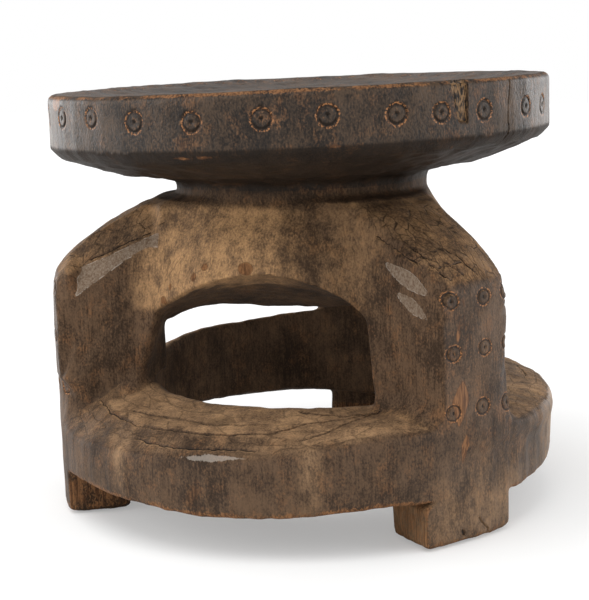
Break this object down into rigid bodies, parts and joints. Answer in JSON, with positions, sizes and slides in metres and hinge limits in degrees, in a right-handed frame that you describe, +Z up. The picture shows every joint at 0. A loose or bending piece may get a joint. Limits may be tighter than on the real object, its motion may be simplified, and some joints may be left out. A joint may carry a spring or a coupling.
{
  "type": "carved wooden stool",
  "caption": "Low round wooden stool with a dished seat, a short neck, buttress legs with arched windows between them, and an open ring base on short feet.",
  "frame": {"origin": "on the floor under the seat's centre, midway between the feet's outer faces", "axes": "+Z up, +Y towards the rear leg, +X to the right of someone who faces the front window"},
  "size_m": [0.33, 0.33, 0.277],
  "materials": {
    "seat_wood": "dark hand-worn patina, burnished on the rim",
    "body_wood": "dark brown carved wood, worn lighter on the hub and the legs' edges",
    "base_wood": "brown carved wood, tan end grain on the ring's top, worn edges"
  },
  "bodies": {
    "root": {"seat": "seat_wood", "neck": "body_wood", "hub": "body_wood", "rear_leg": "body_wood", "left_leg": "body_wood", "right_leg": "body_wood", "base_ring": "base_wood", "rear_foot": "base_wood", "left_foot": "base_wood", "right_foot": "base_wood"}
  },
  "joints": []
}
